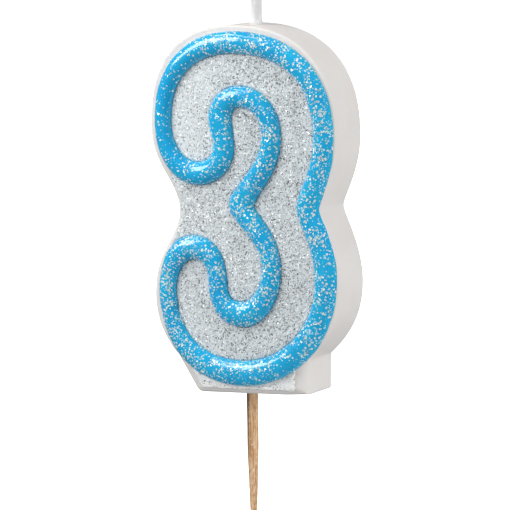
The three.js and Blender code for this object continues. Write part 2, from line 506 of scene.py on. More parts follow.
def speck_layer(s, size, reach, share, scale=UNSCALED):
    """Round flakes in Voronoi cells: where they are, a random value for each and its random colour."""
    cells = s.cells(size, scale=scale)
    channels = s.node("ShaderNodeSeparateColor", {"Color": cells.outputs["Color"]})
    there = s.between(cells.outputs["Distance"], reach, reach + 0.09, 1, 0)
    wanted = s.maths("LESS_THAN", channels.outputs["Red"], share)
    return s.times(there, wanted), channels.outputs["Green"], cells.outputs["Color"]


def facet_normal(s, colour, tilt):
    """The surface normal, leaned a different way in each cell."""
    lean = s.node("ShaderNodeVectorMath", operation="SUBTRACT")
    s.feed(lean.inputs[0], colour)
    lean.inputs[1].default_value = (0.5, 0.5, 0.5)
    scaled = s.node("ShaderNodeVectorMath", operation="SCALE")
    s.feed(scaled.inputs[0], lean.outputs[0])
    s.feed(scaled.inputs["Scale"], tilt)
    added = s.node("ShaderNodeVectorMath", operation="ADD")
    s.feed(added.inputs[0], s.node("ShaderNodeNewGeometry").outputs["Normal"])
    s.feed(added.inputs[1], scaled.outputs[0])
    straight = s.node("ShaderNodeVectorMath", operation="NORMALIZE")
    s.feed(straight.inputs[0], added.outputs[0])
    return straight.outputs[0]


SPARSE_X = (-11, 1)
SPARSE_Z = (46, 30)
SPARSE_SHARES = (0.2, 0.72)


def crowding(s):
    """How crowded the gel's flakes are: sparse at the numeral's upper left, denser elsewhere."""
    place = s.node("ShaderNodeSeparateXYZ", {"Vector": s.stretched()})
    from_left = s.between(place.outputs["X"], *SPARSE_X, *SPARSE_SHARES)
    from_top = s.between(place.outputs["Z"], *SPARSE_Z, *SPARSE_SHARES)
    return s.maths("MAXIMUM", from_left, from_top)


def blue_gel_material():
    """Clear glossy azure gel, with pale flakes at different depths."""
    s = Shader("blue_glitter_gel")
    depth = s.noise(5, 3)
    gel = s.ramp(depth, [(0.25, (0.002, 0.385, 0.735)), (0.75, (0.010, 0.50, 0.82))])
    crowd = crowding(s)
    clumps = s.between(s.noise(1.6, 3, 0.65), 0.43, 0.58)
    crowd = s.times(crowd, s.between(clumps, 0, 1, 0.12, 1.25))
    big, big_pick, big_colour = speck_layer(s, 0.56, 0.34, s.between(crowd, 0, 1, 0.03, 0.62))
    small, small_pick, _ = speck_layer(s, 0.29, 0.37, s.between(crowd, 0, 1, 0.02, 0.46))
    flake_tints = [(0.0, (0.28, 0.64, 0.78)), (0.25, (0.62, 0.85, 0.88)), (0.50, (0.91, 0.98, 0.94))]
    small_tint = s.ramp(small_pick, flake_tints, True)
    big_tint = s.ramp(big_pick, [*flake_tints, (0.93, (0.33, 0.42, 0.5))], True)
    colour = s.mixed(s.times(small, 0.85), gel, small_tint)
    colour = s.mixed(s.times(big, 0.95), colour, big_tint)
    flakes = s.maths("MAXIMUM", small, big)
    lean = s.times(big, 0.5)
    rough = s.plus(0.2, s.times(flakes, 0.2))
    lumps = s.noise(0.8, 3)
    height = s.plus(lumps, s.times(flakes, 0.5))
    s.surface(
        Base_Color=colour,
        Roughness=rough,
        Metallic=s.times(big, 0.15),
        Specular_IOR_Level=0.3,
        Subsurface_Weight=0.35,
        Subsurface_Radius=(0.25, 0.6, 1.0),
        Subsurface_Scale=0.0009,
        Coat_Weight=0.85,
        Coat_Roughness=0.12,
        Coat_IOR=1.52,
        Coat_Normal=s.bumped(s.noise(1.9, 3, 0.5), 0.06, 0.6),
        Normal=s.bumped(height, 0.035, 0.8, facet_normal(s, big_colour, lean)),
    )
    return s.material


def silver_coat_material(name, density, ground, dark_reflection_share):
    """Clear gel crowded with silver flakes. The darkest flakes are painted reflection, coloured dark where a
    flake would lie so that it mirrors darkness, and the tones are painted lighter towards the left as
    painted light; the flakes' tilted normals also reflect the lamps.
    """
    s = Shader(name)
    flat = (1, 0.2, 1)
    base = s.cells(0.22, scale=flat)
    shade = s.node("ShaderNodeSeparateColor", {"Color": base.outputs["Color"]})
    clouds = s.noise(3.5, 3)
    place = s.node("ShaderNodeSeparateXYZ", {"Vector": s.stretched()})
    pick = s.plus(shade.outputs["Red"], s.between(clouds, 0.3, 0.7, -0.10, 0.10))
    # Painted light: the flakes' tones are lifted towards the left, where the light falls, and pushed darker
    # towards the right.
    pick = s.plus(pick, s.between(place.outputs["X"], -13, 0, 0.03, -0.07))
    # The near-black and dark grey tones are painted reflection, standing for flakes tilted to mirror
    # darkness; the lighter tones are the silver's own.
    silver = s.ramp(
        pick,
        [
            (0.0, (0.15, 0.16, 0.17)),
            (dark_reflection_share, (0.42, 0.46, 0.47)),
            (dark_reflection_share * 1.9, (0.66, 0.72, 0.74)),
            (0.42, (0.80, 0.86, 0.88)),
            (0.76, (0.94, 0.96, 0.96)),
        ],
        True,
    )
    to_left = s.between(place.outputs["X"], -2, -10)
    to_top = s.between(place.outputs["Z"], 40, 48)
    corner = s.times(to_left, to_top)
    here = s.times(s.between(corner, 0, 1, 1, 0.62), density)
    flakes = s.maths("LESS_THAN", shade.outputs["Green"], here)
    edge = s.cells(0.22, "DISTANCE_TO_EDGE", flat)
    body_of_flake = s.between(edge.outputs["Distance"], 0.01, 0.09)
    shown = s.times(flakes, s.between(body_of_flake, 0, 1, 0.45, 1))
    colour = s.mixed(shown, ground, silver)
    fine, _, _ = speck_layer(s, 0.28, 0.17, 0.2, flat)
    colour = s.mixed(s.times(fine, 0.7), colour, (0.16, 0.17, 0.18))
    lumps = s.noise(0.45, 3)
    height = s.plus(lumps, s.times(shown, 0.7))
    lean = s.times(shown, 0.55)
    s.surface(
        Base_Color=colour,
        Metallic=s.times(shown, 0.2),
        Roughness=s.between(shade.outputs["Blue"], 0, 1, 0.28, 0.55),
        Specular_IOR_Level=0.5,
        Coat_Weight=0.25,
        Coat_Roughness=0.2,
        Normal=s.bumped(height, 0.03, 0.7, facet_normal(s, base.outputs["Color"], lean)),
    )
    return s.material


GEL_TINTS = [(0.0, (0.88, 0.98, 0.94)), (0.45, (0.58, 0.85, 0.90)), (0.70, (0.93, 1.0, 0.96))]
# Tints for the silver foil flakes. The near-black tint is painted reflection, standing for flakes tilted to
# mirror darkness; the others are the foil's own silvers.
COAT_TINTS = [
    (0.0, (0.90, 0.93, 0.94)),
    (0.4, (0.62, 0.68, 0.71)),
    (0.66, (0.97, 0.98, 0.98)),
    (0.82, (0.16, 0.17, 0.18)),
]


def flake_material(name, tints, metallic):
    """Foil flakes: each one takes a tint from the list, and its face has fine streaks. A dark tint in the
    list is painted reflection.
    """
    s = Shader(name)
    each = s.node("ShaderNodeNewGeometry").outputs["Random Per Island"]
    streaks = s.noise(0.06, 2)
    tint = s.ramp(each, tints, True)
    s.surface(
        Base_Color=s.mixed(s.between(streaks, 0.35, 0.65, 0.0, 0.2), tint, (0.55, 0.6, 0.64)),
        Metallic=metallic,
        Roughness=s.between(streaks, 0.3, 0.7, 0.26, 0.44),
        Coat_Weight=0.3,
        Coat_Roughness=0.12,
    )
    return s.material


def cotton_material():
    """Bleached cotton yarn."""
    s = Shader("cotton_braid")
    fibres = s.noise(0.5, 4, 0.7, (9, 9, 1))
    s.surface(
        Base_Color=s.ramp(fibres, [(0.3, (0.70, 0.68, 0.63)), (0.7, (0.86, 0.845, 0.80))]),
        Roughness=0.92,
        Sheen_Weight=0.35,
        Sheen_Roughness=0.5,
        Normal=s.bumped(fibres, 0.05, 0.8),
    )
    return s.material


def wick_wax_material():
    """Thin translucent wax over the wick, with the braid's rhythm just showing."""
    s = Shader("wick_wax")
    drift = s.noise(2.2, 4, scale=(1, 1, 0.5))
    bands = {"Vector": s.stretched(), "Scale": 0.28, "Distortion": 2.5, "Detail": 2.0}
    rhythm = s.node("ShaderNodeTexWave", bands, bands_direction="Z")
    band = s.between(rhythm.outputs["Fac"], 0, 1, -0.08, 0.08)
    tone = s.plus(drift, band)
    height = s.plus(s.noise(0.5, 3), s.times(tone, 1.2))
    s.surface(
        Base_Color=s.ramp(tone, [(0.2, (0.79, 0.775, 0.77)), (0.8, (0.85, 0.835, 0.825))]),
        Roughness=s.between(drift, 0.3, 0.7, 0.32, 0.5),
        Subsurface_Weight=0.8,
        Subsurface_Radius=(1.0, 0.9, 0.8),
        Subsurface_Scale=0.0014,
        Normal=s.bumped(height, 0.05, 0.5),
    )
    return s.material


# The way the pick's edge on the camera's left faces, in x and y. A strip of painted shade runs down that
# edge.
CAMERA_LEFT_EDGE_FACES = (-0.883, -0.469)


def birch_material():
    """Pale birch: long fibres and short dark flecks, with painted shade as a dark brown strip down the edge
    that the camera sees on its left.
    """
    s = Shader("birch_wood")
    fibres = s.noise(1.1, 6, 0.7, (4.5, 4.5, 0.16))
    flecks = s.noise(0.55, 3, 0.6, (1.6, 1.6, 0.55))
    browns = [(0.36, (0.36, 0.185, 0.07)), (0.5, (0.60, 0.355, 0.18)), (0.62, (0.77, 0.54, 0.335))]
    grain = s.ramp(fibres, browns)
    light = s.between(flecks, 0.54, 0.64, 0, 0.75)
    dark = s.between(flecks, 0.43, 0.33, 0, 0.75)
    colour = s.mixed(light, grain, (0.84, 0.66, 0.49))
    colour = s.mixed(dark, colour, (0.33, 0.16, 0.06))
    parts = s.node("ShaderNodeSeparateXYZ", {"Vector": s.stretched()})
    along_x = s.times(parts.outputs["X"], CAMERA_LEFT_EDGE_FACES[0])
    along_y = s.times(parts.outputs["Y"], CAMERA_LEFT_EDGE_FACES[1])
    toward_camera_left = s.plus(along_x, along_y)
    # Painted shade: a near-black brown strip along the edge that faces the camera's left, where the pick's
    # side turns away from the light.
    strip = s.between(s.plus(toward_camera_left, s.times(fibres, 0.25)), 0.70, 0.98, 0, 0.92)
    colour = s.mixed(strip, colour, (0.10, 0.035, 0.012))
    s.surface(
        Base_Color=colour,
        Roughness=s.between(fibres, 0.3, 0.7, 0.72, 0.58),
        Specular_IOR_Level=0.35,
        Normal=s.bumped(fibres, 0.06, 0.9),
    )
    return s.material


def paper_material():
    """The studio's white floor."""
    s = Shader("studio_floor")
    tooth = s.noise(6, 3)
    s.surface(
        Base_Color=s.ramp(tooth, [(0.3, (0.90, 0.90, 0.90)), (0.7, (0.93, 0.93, 0.93))]),
        Roughness=0.9,
        Specular_IOR_Level=0.1,
        Emission_Color=(1, 1, 1, 1),
        Emission_Strength=1.0,
    )
    return s.material


# Wax body ------------------------------

EDGE_ROUND = 0.45
GAP_EDGE_ROUND = 1.1
FOOT_EDGE_ROUND = 1.15
FOOT_CORNER_ROUND = 2.4
BACK_ROUND = 0.6
EDGE_ANGLES = (18, 36, 54, 72, 90)
GAP_MIDDLE = 34.5
GAP_REACH = 5
RIDGE_SLOPE = 0.45
UNDERSIDE_RISE = (0.2, 1.2)
FOOT_BLEND = 6.5
WALL_ROWS = 18
FACE_STEP = 0.36
HOLE_CLEARANCE = 0.05
HOLE_DEPTH_SPARE = 0.3
SOCKET_ROD_BOTTOM = -2
CHANNEL_ROD_TOP = 75


def edge_round(points):
    """How much the body's front edge is rounded: more at the foot and in the open left side."""
    x, z = points[:, 0], points[:, 1]
    gap = np.exp(-(((z - GAP_MIDDLE) / GAP_REACH) ** 2)) * (x < 0)
    foot = 1 - smoothstep(6.2, 8.6, z)
    corner = smoothstep(9, 13.5, x)
    at_foot = FOOT_EDGE_ROUND + (FOOT_CORNER_ROUND - FOOT_EDGE_ROUND) * corner
    plain = EDGE_ROUND + (GAP_EDGE_ROUND - EDGE_ROUND) * gap
    return plain + (at_foot - plain) * foot


body_round = edge_round(body.points)


def rounded_drop(distance, radius):
    """How far a rounded edge falls back from the face at a distance from the outline."""
    left = np.clip(radius - distance, 0, radius)
    return radius - np.sqrt(radius**2 - left**2)


def wax_front(points):
    """The wax front's y: a flat face with a low ridge under the gel line and rounded edges."""
    number, distance, _ = body.nearest(points)
    line_number, from_line, side = numeral.nearest(points)
    reach = bead_reach(line_number, side)
    ridge = ridge_height * (1 - smoothstep(-RIDGE_SLOPE, 0.1, from_line - reach))
    sway = 0.035 * flat_waves(points, 11, 3)
    return front_y - ridge + rounded_drop(distance, body_round[number]) + sway * (1 - ridge / ridge_height)


def wax_back(points):
    """The wax back's y: it sank a little as it cooled and its edge is rounded."""
    _, distance, _ = body.nearest(points)
    sunk = 0.16 * smoothstep(0.5, 7, distance) + 0.05 * (flat_waves(points, 9, 5) + 0.6)
    return back_y - rounded_drop(distance, BACK_ROUND) - sunk * smoothstep(0, 2, distance)


def lifted(vertices):
    """The vertices with the foot's underside rising towards the right."""
    x, _, z = vertices.T
    across = np.clip((x - FOOT_LEFT) / (FOOT_RIGHT - FOOT_LEFT), 0, 1)
    rise = UNDERSIDE_RISE[0] + (UNDERSIDE_RISE[1] - UNDERSIDE_RISE[0]) * across
    moved = vertices.copy()
    moved[:, 2] += rise * (1 - smoothstep(0, FOOT_BLEND, z))
    return moved


def edge_rings(radius):
    """The outline, and rings of its points moved inwards as its rounded edge turns towards the face."""
    every = round(FACE_STEP / LINE_STEP)
    line = body.points[::every]
    normals = body.normals[::every]
    size = radius[::every]
    rings = []
    for angle in EDGE_ANGLES:
        inset = size * (1 - math.cos(math.radians(angle)))
        ring = line - normals * inset[:, None]
        _, distance, _ = body.nearest(ring)
        rings.append(ring[distance > inset - 0.015])
    return line, rings


def body_face(radius, grid, y_of, seed):
    """The body's front or back: vertices, triangles, and how many of the first vertices are the rim."""
    line, rings = edge_rings(radius)
    low, high = line.min(axis=0), line.max(axis=0)
    inner = grid_points(low, high, grid, seed)
    number, distance, side = body.nearest(inner)
    inner = inner[(side < 0) & (distance > radius[number] + grid * 0.4)]
    inner = np.vstack([*rings, inner])
    points, faces, source = triangulated([line], inner, lambda middles: inside_loop(middles, line))
    order = np.argsort(np.where(source < 0, len(source), source), kind="stable")
    back_to = np.empty(len(order), int)
    back_to[order] = np.arange(len(order))
    points, faces = points[order], back_to[faces]
    return standing(points, y_of(points)), faces, len(line)


def body_solid():
    """The body before it is drilled: a front, a back and a wall of quads between their rims."""
    front, front_faces, rim = body_face(body_round, 0.42, wax_front, 11)
    back, back_faces, _ = body_face(np.full(len(body.points), BACK_ROUND), 0.8, wax_back, 12)
    share = np.linspace(0, 1, WALL_ROWS)[1:-1, None, None]
    walls = (front[:rim] + (back[:rim] - front[:rim]) * share).reshape(-1, 3)
    vertices = np.vstack([front, back, walls])
    first_wall = len(front) + len(back)
    starts = [0, *(first_wall + rim * i for i in range(WALL_ROWS - 2)), len(front)]
    around = np.arange(rim)
    beside = (around + 1) % rim
    triangles = np.vstack([front_faces, back_faces[:, ::-1] + len(front)])
    faces = triangles.tolist()
    for a, b in zip(starts, starts[1:]):
        faces += np.stack([a + around, a + beside, b + beside, b + around], axis=1).tolist()
    depth = smoothstep(front_y + 1.5, front_y + 5, vertices[:, 1])
    vertices[:, 0] += depth * 0.07 * waves(vertices, 13, 7)
    vertices[:, 2] += depth * 0.05 * waves(vertices, 12, 8)
    return lifted(vertices), faces


def make_body(material):
    """The wax numeral, drilled from below for the pick and from above for the wick."""
    vertices, faces = body_solid()
    piece = finished("candle_body", vertices, faces, material, 60)
    wick_x = (coat_low[0] + coat_high[0]) / 2
    wick_radius = (coat_high[0] - coat_low[0]) / 2
    socket_top = pick_high[2] + HOLE_DEPTH_SPARE
    channel_bottom = coat_low[2] - HOLE_DEPTH_SPARE
    drills = [
        drill("socket", 0, pick_high[0] + HOLE_CLEARANCE, SOCKET_ROD_BOTTOM, socket_top),
        drill("channel", wick_x, wick_radius + HOLE_CLEARANCE, channel_bottom, CHANNEL_ROD_TOP),
    ]
    for rod in drills:
        cut = piece.modifiers.new("cut", "BOOLEAN")
        cut.operation = "DIFFERENCE"
        cut.solver = "EXACT"
        cut.object = rod
    bpy.context.view_layer.update()
    evaluated = piece.evaluated_get(bpy.context.evaluated_depsgraph_get())
    mesh = bpy.data.meshes.new_from_object(evaluated)
    piece.modifiers.clear()
    piece.data = mesh
    for rod in drills:
        bpy.data.objects.remove(rod)
    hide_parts("wax_body")


def circle(around):
    """Even directions all round, as (cos, sin) rows."""
    turn = np.linspace(0, 2 * math.pi, around, endpoint=False)
    return np.stack([np.cos(turn), np.sin(turn)], axis=1)


def level_ring(x, radius, z, around):
    """A level ring of points round a vertical axis at x."""
    return np.column_stack([(x, 0) + radius * circle(around), np.full(around, z)])


def ring_faces(rows, around, closed_ends=True):
    """Quads between rows of around points each, with a cap on each end unless closed_ends is off."""
    faces = []
    for r in range(rows - 1):
        for i in range(around):
            j = (i + 1) % around
            faces.append((r * around + i, r * around + j, (r + 1) * around + j, (r + 1) * around + i))
    if closed_ends:
        faces.append(tuple(range(around))[::-1])
        faces.append(tuple((rows - 1) * around + i for i in range(around)))
    return faces


def drill(name, x, radius, bottom, top, around=64):
    """A rod that cuts a round hole."""
    vertices = np.vstack([level_ring(x, radius, z, around) for z in (bottom, top)])
    mesh = bpy.data.meshes.new("drill_" + name)
    mesh.from_pydata((vertices * MM).tolist(), [], ring_faces(2, around))
    return placed("drill_" + name, mesh)


# Gel line ------------------------------

DOME_SIDES = 2.1
DOME_TOP = 0.5
WOBBLE_SHIFT = 997  # the two edges of the line wobble differently
SAME_STRETCH = 2.6  # points nearer along the line than this belong to the same stretch of it
NEAR_STEPS = 4
CHUNK = 2000
FAR_AWAY = 1e3
MEETING = 6  # how sharply two stretches meet
CROWN_SHARE = 0.985
LUMP_HEIGHT = 0.045
FLOW_DOWN = 0.02
BEAD_STEPS = 6
BEAD_SHARES = (0.992, 0.972, 0.935, 0.88, 0.81, 0.72, 0.61, 0.48, 0.33, 0.17)
RING_SLACK = 0.03  # a moved ring's points that come this much too near the line are left out

line_wobble = flat_waves(numeral.points, 3.1, 21, 2)
line_height = 1.0 - 0.07 * (flat_waves(numeral.points, 6.5, 22) + 0.5)


def bead_reach(number, side):
    """How far the gel line reaches from its middle line, at points of that line and on that side."""
    place = numeral_place[number]
    widths = np.append(BEAD_WIDTHS, BEAD_WIDTHS[0])
    at = np.floor(place).astype(int) % len(BEAD_WIDTHS)
    share = smoothstep(0, 1, place - np.floor(place))
    width = widths[at] + (widths[at + 1] - widths[at]) * share
    bulge = WAIST_BULGE * np.exp(-(((place - INNER_WAIST) / WAIST_BULGE_REACH) ** 2)) * (side > 0)
    shifted = line_wobble[(number + WOBBLE_SHIFT) % len(line_wobble)]
    wobble = 0.07 * line_wobble[number] + 0.05 * shifted * side
    return width + bulge + wobble


def dome(distance, reach):
    """The height of a nearly half-round section, from 1 at its middle to 0 at its reach."""
    return np.clip(1 - np.clip(distance / reach, 0, 1) ** DOME_SIDES, 0, 1) ** DOME_TOP


def other_stretch_rise(points, number, side):
    """The dome over the nearest point of the line on a different stretch from the given numbers."""
    rise = np.zeros(len(points))
    line = numeral.points[::NEAR_STEPS]
    far = int(SAME_STRETCH / LINE_STEP / NEAR_STEPS)
    for start in range(0, len(points), CHUNK):
        part = slice(start, start + CHUNK)
        away = np.linalg.norm(points[part, None, :] - line[None, :, :], axis=2)
        apart = np.abs(np.arange(len(line))[None, :] - (number[part] // NEAR_STEPS)[:, None])
        apart = np.minimum(apart, len(line) - apart)
        away[apart < far] = FAR_AWAY
        nearest = away.argmin(axis=1) * NEAR_STEPS
        rise[part] = dome(away.min(axis=1), bead_reach(nearest, side[part])) * line_height[nearest]
    return rise


def bead_surface(points):
    """The gel's y at (x, z) points. Where two stretches of the line meet in a bend, they run together."""
    number, distance, side = numeral.nearest(points)
    first = line_height[number] * dome(distance, bead_reach(number, side))
    second = other_stretch_rise(points, number, side)
    together = (first**MEETING + second**MEETING) ** (1 / MEETING)
    lumps = LUMP_HEIGHT * flat_waves(points, 2.2, 23, 2) * smoothstep(0, 0.5, together)
    rise = np.clip(together, 0, 1.0) * (front_y - crown_y) * CROWN_SHARE + lumps - FLOW_DOWN
    return front_y - rise


def ring_beside(number, side, reach):
    """The line's points of those numbers moved to one side by reach, without those that a bend crowds."""
    ring = numeral.points[number] + numeral.normals[number] * (side * reach)[:, None]
    _, distance, _ = numeral.nearest(ring)
    return ring[distance > reach - RING_SLACK]


def make_bead(material):
    """The blue gel line."""
    number = np.arange(0, len(numeral.points), BEAD_STEPS)
    edges = []
    rings = [numeral.points[number]]
    for side in (1, -1):
        reach = bead_reach(number, np.full(len(number), side))
        edges.append(ring_beside(number, side, reach))
        rings += [ring_beside(number, side, share * reach) for share in BEAD_SHARES]
    outer, inner = edges

    def in_line(middles):
        return inside_loop(middles, outer) & ~inside_loop(middles, inner)

    points, faces, _ = triangulated(edges, np.vstack(rings), in_line)
    vertices, faces = lens(points, faces, bead_surface, 0.02)
    piece = finished("gel_outline_bead", vertices, faces, material, 70)
    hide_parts("glitter_outline_bead")


# Glitter coats ------------------------------

COAT_TUCK = 0.04
GAP_INSET = 0.85
COUNTER_WINDOW = (-14.2, 5, 18, 54.5)
COAT_GRID = 0.27


def coat_surface(points):
    """The front of a glitter coat: the wax with a lumpy film over it."""
    lumps = 0.5 + 0.5 * flat_waves(points, 0.75, 31, 2) + 0.35 * flat_waves(points, 4, 32)
    return wax_front(points) - film_thickness * (0.5 + 0.4 * lumps)


def gel_edge(side, out):
    """A closed line beside the gel line, at a distance out from its outer (1) or inner (-1) edge."""
    number = np.arange(0, len(numeral.points), COARSE)
    return ring_beside(number, side, bead_reach(number, np.full(len(number), side)) + out)


def span(loops):
    """The lowest and highest corners of some loops."""
    points = np.vstack(loops)
    return points.min(axis=0), points.max(axis=0)


def make_coat(name, node, region, seed, material):
    """A thin film of glitter gel over a region."""
    loops, keep = region
    inner = grid_points(*span(loops), COAT_GRID, seed)
    inner = inner[keep(inner)]
    points, faces, _ = triangulated(loops, inner, keep)
    vertices, faces = lens(points, faces, coat_surface, 0.01)
    piece = finished(name, lifted(vertices), faces, material, 70)
    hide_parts(node)


# A region is its edges and a test of which (x, z) points it holds. A margin draws it in.


def in_numeral(margin=0.0):
    """Between the two edges of the 3."""
    edge = gel_edge(-1, -COAT_TUCK + margin)

    def keep(points):
        return inside_loop(points, edge)

    return [edge], keep


def in_counters(margin=0.0):
    """The two counters and the open left side."""
    edge = gel_edge(1, -COAT_TUCK + margin)
    silhouette = body.points[::COARSE] - body.normals[::COARSE] * (GAP_INSET + margin)
    left, right, bottom, top = COUNTER_WINDOW
    corners = np.array([(left, bottom), (left, top), (right, top), (right, bottom)], float)
    window = respaced(corners, COARSE_STEP)[0]

    def keep(points):
        on_left = inside_loop(points, window) & inside_loop(points, silhouette)
        return on_left & ~inside_loop(points, edge)

    return [edge, silhouette, window], keep


def in_foot(margin=0.0):
    """The foot below the gel line. Its edge is frayed, most of all at the right."""
    edge = gel_edge(1, -COAT_TUCK + margin)
    low, high = foot_film_low, foot_film_high
    corners = np.array([(-7.6, low[2]), (-11.2, 7), (high[0], 7), (high[0], low[2])], float)
    middle = corners.mean(axis=0)
    corners = middle + (corners - middle) * (1 - margin / 4)
    strip = respaced(corners, COARSE_STEP)[0]
    fray = 0.16 + 0.5 * smoothstep(7.5, high[0] - 1, strip[:, 0])
    inwards = -np.abs(flat_waves(strip, 1.1, 41, 2))
    upwards = 0.5 * flat_waves(strip, 1.6, 42)
    strip = strip + np.stack([inwards, upwards], axis=1) * fray[:, None]

    def keep(points):
        return inside_loop(points, strip) & ~inside_loop(points, edge)

    return [edge, strip], keep


# Flakes ------------------------------

FLAKE_THICKNESS = 0.045
LONGEST_FLAKE = 1.7
SLOPE_STEP = 0.03
BEAD_FLAKES = 3600
BEAD_FLAKE_SIZES = [0.24, 0.32, 0.44]
BEAD_FLAKE_SHARES = [0.42, 0.36, 0.22]
COAT_FLAKE_SIZES = [0.17, 0.22, 0.29]
COAT_FLAKE_SHARES = [0.5, 0.35, 0.15]


def face_normals(points, y_of):
    """Normals of a front surface given as y for (x, z) points, pointing out towards -Y."""
    step = SLOPE_STEP
    slope_x = (y_of(points + (step, 0)) - y_of(points - (step, 0))) / (2 * step)
    slope_z = (y_of(points + (0, step)) - y_of(points - (0, step))) / (2 * step)
    out = np.stack([slope_x, -np.ones(len(points)), slope_z], axis=1)
    return out / np.linalg.norm(out, axis=1)[:, None]


def flake_mesh(centres, normals, sizes, tilt, rng):
    """Hexagonal foil plates at the centres, each turned and tilted its own way."""
    turn = rng.uniform(0, math.pi / 3, len(centres))
    lean = rng.normal(0, tilt, centres.shape)
    facing = normals + lean
    facing /= np.linalg.norm(facing, axis=1)[:, None]
    along = np.cross(facing, rng.normal(0, 1, centres.shape))
    along /= np.linalg.norm(along, axis=1)[:, None]
    across = np.cross(facing, along) * rng.uniform(1, LONGEST_FLAKE, len(centres))[:, None]
    vertices = []
    for layer in (1, -1):
        for corner in range(6):
            angle = turn + corner * math.pi / 3
            spoke = along * np.cos(angle)[:, None] + across * np.sin(angle)[:, None]
            vertices.append(centres + spoke * sizes[:, None] / 2 + facing * layer * FLAKE_THICKNESS / 2)
    vertices = np.stack(vertices, axis=1).reshape(-1, 3)
    hexagon = list(range(6))
    plate = [hexagon, [c + 6 for c in hexagon][::-1]]
    plate += [[c, c + 6, (c + 1) % 6 + 6, (c + 1) % 6] for c in range(6)]
    faces = [[12 * i + c for c in face] for i in range(len(centres)) for face in plate]
    return vertices, faces


def make_flakes(name, points, y_of, sizes, proud, tilt, material, rng):
    """A piece of foil flakes on a front surface, at (x, z) points."""
    centres = standing(points, y_of(points))
    normals = face_normals(points, y_of)
    centres = centres + normals * proud
    vertices, faces = flake_mesh(centres, normals, sizes, tilt, rng)
    piece = finished(name, lifted(vertices), faces, material, 10)


def scattered(keep, low, high, count, rng):
    """count random (x, z) points that keep accepts."""
    found = np.zeros((0, 2))
    while len(found) < count:
        points = rng.uniform(low, high, (count * 3, 2))
        found = np.vstack([found, points[keep(points)]])
    return found[:count]


def make_bead_flakes(material):
    """Flakes in the gel line, crowded where its material is."""
    rng = np.random.default_rng(51)
    number = rng.integers(0, len(numeral.points), BEAD_FLAKES)
    x, z = numeral.points[number].T
    sparse, dense = SPARSE_SHARES
    near = np.maximum(smoothstep(*SPARSE_X, x), 1 - smoothstep(*SPARSE_Z[::-1], z))
    crowded = sparse + (dense - sparse) * near
    drift = 0.5 + 0.6 * flat_waves(numeral.points[number], 3, 52, 2)
    number = number[rng.uniform(0, 0.75, BEAD_FLAKES) < crowded * drift]
    side = rng.choice([-1, 1], len(number))
    share = rng.uniform(0, 0.9, len(number))
    reach = bead_reach(number, side)
    points = numeral.points[number] + numeral.normals[number] * (side * share * reach)[:, None]
    sizes = rng.choice(BEAD_FLAKE_SIZES, len(points), p=BEAD_FLAKE_SHARES)
    make_flakes("gel_line_flakes", points, bead_surface, sizes, -0.005, 0.2, material, rng)


def make_coat_flakes(name, region, count, seed, material):
    """Flakes on a glitter coat."""
    rng = np.random.default_rng(seed)
    loops, keep = region
    points = scattered(keep, *span(loops), count, rng)
    sizes = rng.choice(COAT_FLAKE_SIZES, count, p=COAT_FLAKE_SHARES)
    make_flakes(name, points, coat_surface, sizes, 0.0, 0.26, material, rng)


# Wick and pick ------------------------------

STRANDS = 3
STRAND_RADIUS = 0.27
BRAID_SWING = 0.3
BRAID_PITCH = 2.6
BRAID_FLATNESS = 0.62
BRAID_STEP = 0.16
LOOSE_END = 1.1
WICK_AROUND = 48
WICK_STEP = 0.22
FLARE = 0.5
FLARE_HEIGHT = 1.5
PICK_AROUND = 56
PICK_STEP = 0.4
PICK_LEAN = 0.3 / 22
PICK_TAPER = 27
PICK_TIP = 0.15
NEAR_FULL = 0.985  # keeps what swells inside the CAD sizes


def tube(path, radii, around):
    """Vertices and faces of a rod along a path of points, with a radius for each."""
    path = np.asarray(path, float)
    along = np.gradient(path, axis=0)
    along /= np.linalg.norm(along, axis=1)[:, None]
    side = np.cross(along, (0, 1, 0))
    side /= np.linalg.norm(side, axis=1)[:, None]
    ahead = np.cross(along, side)
    cos, sin = circle(around).T
    sideways = side[:, None, :] * cos[None, :, None]
    forwards = ahead[:, None, :] * sin[None, :, None]
    vertices = path[:, None, :] + (sideways + forwards) * np.asarray(radii)[:, None, None]
    return vertices.reshape(-1, 3), ring_faces(len(path), around)


def make_wick_core(material):
    """Three cotton strands braided together, a little loose at the cut tip."""
    x = (core_low[0] + core_high[0]) / 2
    z = np.arange(core_low[2], core_high[2], BRAID_STEP)
    loose = smoothstep(core_high[2] - LOOSE_END, core_high[2], z)
    vertices, faces = [], []
    for strand in range(STRANDS):
        phase = 2 * math.pi * (z / BRAID_PITCH + strand / STRANDS)
        swing = BRAID_SWING * (1 + 0.25 * loose)
        path = np.stack([x + swing * np.sin(phase), BRAID_FLATNESS * swing * np.sin(2 * phase), z], axis=1)
        path[-1, 2] += 0.1 * (strand - 1) - 0.1
        radii = STRAND_RADIUS * (1 - 0.35 * loose**3)
        made, made_faces = tube(path, radii, 12)
        faces += [[v + len(vertices) for v in face] for face in made_faces]
        vertices += made.tolist()
    piece = finished("wick_braid", vertices, faces, material, 60)
    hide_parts("wick_core")


